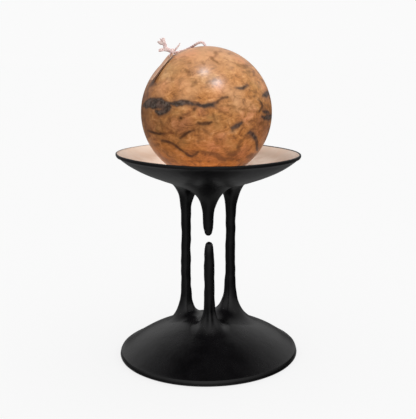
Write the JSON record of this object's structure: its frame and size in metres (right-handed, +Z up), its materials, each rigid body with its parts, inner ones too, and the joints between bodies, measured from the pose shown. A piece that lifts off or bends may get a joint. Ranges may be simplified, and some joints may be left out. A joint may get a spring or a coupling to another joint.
{
  "type": "decorative sphere on a stand",
  "caption": "Polished veined stone sphere resting in a shallow dish on a black cast stand with poured drips between dish and domed foot, with a blank tag on a short twine.",
  "frame": {"origin": "centre of the foot's flat underside, on the surface it stands on", "axes": "+Z up through the ball, -Y the front, where the parted drip is, +X to the right seen from the front"},
  "size_m": [0.1449, 0.143, 0.2502],
  "materials": {
    "black_casting": "satin black over a slightly lumpy casting, worn at the rims, with a cream wash inside the dish",
    "ball_stone": "polished, orange-brown with dark grey-brown veins",
    "twine": "two-ply twisted twine, pale pinkish white, frayed at its ends",
    "tag_card": "plain folded card, blank, with pale cut edges"
  },
  "bodies": {
    "root": {"stand": "black_casting", "ball": "ball_stone", "string": "twine", "string_knot": "twine", "tag": "tag_card"}
  },
  "joints": []
}
